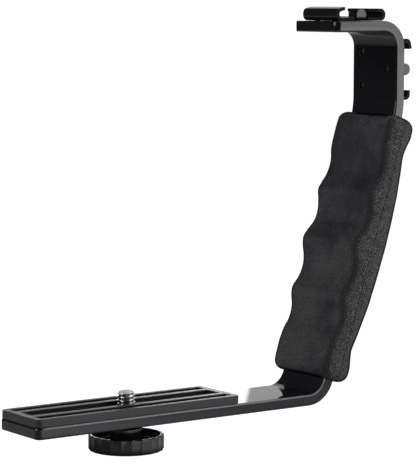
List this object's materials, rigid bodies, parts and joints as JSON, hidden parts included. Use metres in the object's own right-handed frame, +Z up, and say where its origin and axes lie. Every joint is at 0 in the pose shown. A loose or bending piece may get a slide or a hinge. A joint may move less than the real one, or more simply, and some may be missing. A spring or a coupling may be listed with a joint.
{
  "type": "camera flash bracket",
  "caption": "Bent flat-bar camera bracket with a padded platform, a captive clamp screw with knob, a moulded hand grip, and a flash shoe on top and on the side.",
  "frame": {"origin": "middle of the hand grip, on the middle plane of the flat bar inside it", "axes": "+X along the lower arm from its free end towards the grip, +Y across the bar away from the picture's camera, +Z up"},
  "size_m": [0.161, 0.033, 0.1515],
  "materials": {
    "painted_bar": "gloss black",
    "shoe_paint": "satin black",
    "pad_rubber": "matte",
    "grip_rubber": "leather grain",
    "knob_plastic": "satin black",
    "screw_steel": "bright",
    "fastener_steel": "black oxide"
  },
  "bodies": {
    "bracket": {"frame_bar": "painted_bar", "platform_pad": "pad_rubber", "grip_finger_shell": "grip_rubber", "grip_palm_shell": "grip_rubber", "grip_screw_lower": "fastener_steel", "grip_screw_upper": "fastener_steel", "top_shoe": "shoe_paint", "top_shoe_screw_1": "fastener_steel", "top_shoe_screw_2": "fastener_steel", "top_shoe_screw_3": "fastener_steel", "side_shoe": "shoe_paint", "side_shoe_screw_1": "fastener_steel", "side_shoe_screw_2": "fastener_steel", "side_shoe_screw_3": "fastener_steel"},
    "screw_carriage": {"thrust_washer": "knob_plastic"},
    "camera_clamp": {"camera_screw": "screw_steel", "clamp_knob": "knob_plastic"}
  },
  "joints": [
    {"name": "screw_slide", "type": "slide", "parent": "bracket", "child": "screw_carriage", "axis": [1, 0, 0], "range_m": [-0.0286, 0.0268]},
    {"name": "clamp_turn", "type": "hinge", "parent": "screw_carriage", "child": "camera_clamp", "pos_m": [-0.09453, 0, -0.0552], "axis": [0, 0, 1], "continuous": true}
  ]
}
